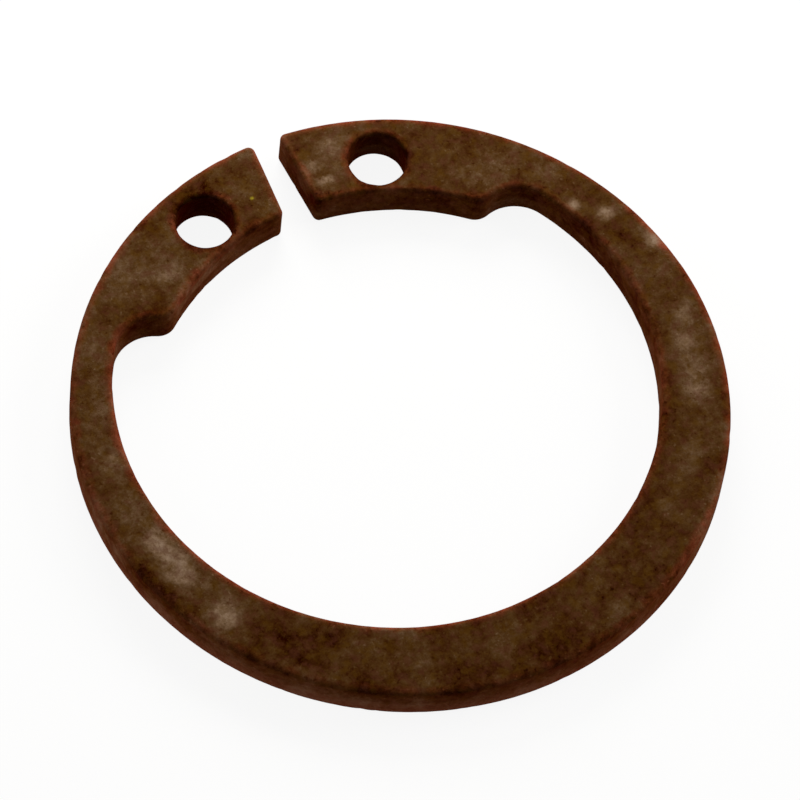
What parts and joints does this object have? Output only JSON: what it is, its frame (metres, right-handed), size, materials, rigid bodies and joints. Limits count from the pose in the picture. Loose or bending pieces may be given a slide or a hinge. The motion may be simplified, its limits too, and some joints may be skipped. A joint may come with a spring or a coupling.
{
  "type": "internal retaining ring",
  "caption": "Flat stamped spring-steel retaining ring for a bore groove, with a tapering section, a narrow gap and two inward lugs with plier holes.",
  "frame": {"origin": "centre of the round outer rim, on the lower face", "axes": "+Z along the ring's axis, up through its thickness; +Y from the centre to the gap between the two lugs; +X to the right of the gap seen from above"},
  "size_m": [0.0234, 0.0234, 0.0015],
  "materials": {
    "phosphated_spring_steel": "matt brown-black phosphate and oxide on spring steel, mottled, with redder worn edges and pale grey scuffs"
  },
  "bodies": {
    "root": {"retaining_ring": "phosphated_spring_steel"}
  },
  "joints": []
}
